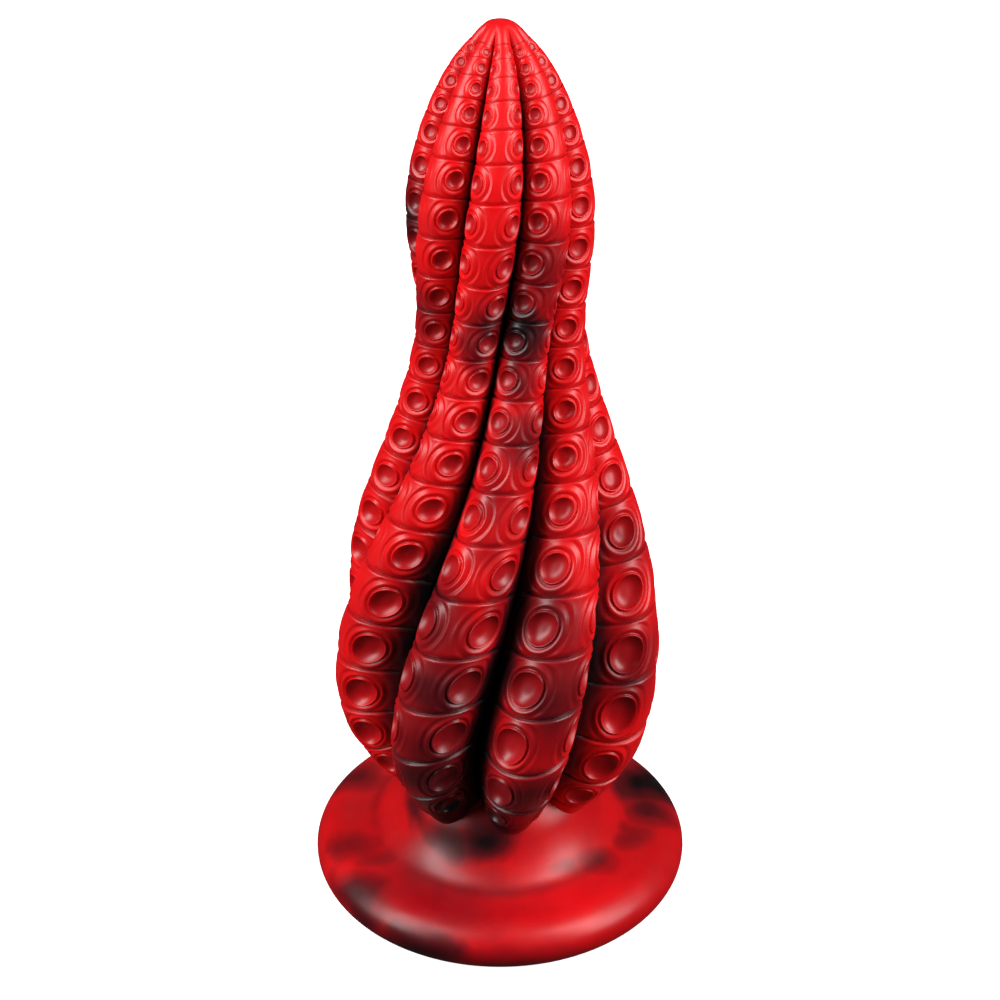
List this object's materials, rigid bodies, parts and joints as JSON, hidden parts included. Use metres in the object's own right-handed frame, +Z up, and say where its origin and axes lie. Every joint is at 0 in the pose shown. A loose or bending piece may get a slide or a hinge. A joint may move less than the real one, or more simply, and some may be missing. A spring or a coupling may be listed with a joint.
{
  "type": "tentacle-form silicone adult toy",
  "caption": "Tapered bundle of sucker-lined tentacle arms wound about one axis and moulded in silicone on a flared suction base; an adult novelty.",
  "frame": {"origin": "centre of the base, in the plane that the base stands on", "axes": "+Z up the axis of the bundle, from the base to the tip; -Y towards the front"},
  "size_m": [0.096, 0.096, 0.2195],
  "materials": {
    "arm_silicone": "satin silicone, bright red marbled with black and maroon",
    "base_silicone": "satin silicone, red with black swirls",
    "core_silicone": "matt silicone, dark red to black"
  },
  "bodies": {
    "root": {"arm_1": "arm_silicone", "arm_2": "arm_silicone", "arm_3": "arm_silicone", "arm_4": "arm_silicone", "arm_5": "arm_silicone", "arm_6": "arm_silicone", "arm_7": "arm_silicone", "arm_8": "arm_silicone", "suckers_1": "arm_silicone", "suckers_2": "arm_silicone", "suckers_3": "arm_silicone", "suckers_4": "arm_silicone", "suckers_5": "arm_silicone", "suckers_6": "arm_silicone", "suckers_7": "arm_silicone", "suckers_8": "arm_silicone", "core": "core_silicone", "suction_base": "base_silicone"}
  },
  "joints": []
}
